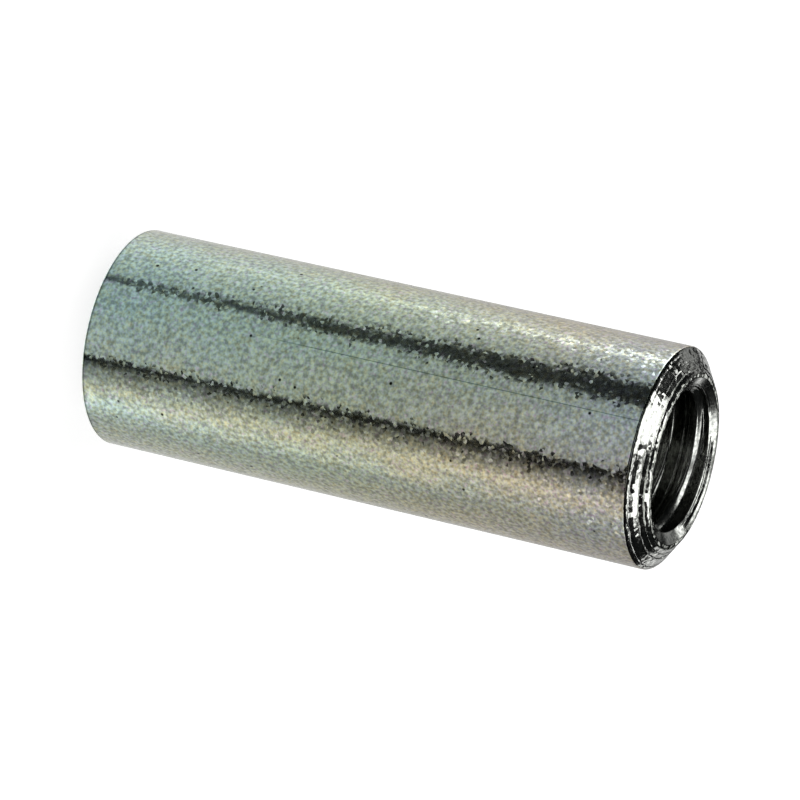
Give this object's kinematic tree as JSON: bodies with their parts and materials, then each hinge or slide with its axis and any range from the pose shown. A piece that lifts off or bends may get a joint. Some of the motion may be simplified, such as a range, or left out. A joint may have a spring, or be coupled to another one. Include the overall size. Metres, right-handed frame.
{
  "type": "round coupling nut",
  "caption": "Plain round threaded sleeve that joins screws or threaded rods end to end, with a bevelled mouth and countersunk bore ends.",
  "frame": {"origin": "centre of the cut-off end that the nut stands on", "axes": "+Z along the bore, from the cut-off end up to the bevelled mouth; the nut is round, so X and Y are free"},
  "size_m": [0.011, 0.011, 0.03],
  "materials": {
    "zinc_plated_steel": "zinc plate, clear passivated, over drawn steel bar: satin grey with a fine grain and faint blue-green and straw tints"
  },
  "bodies": {
    "root": {"coupling_nut": "zinc_plated_steel"}
  },
  "joints": []
}
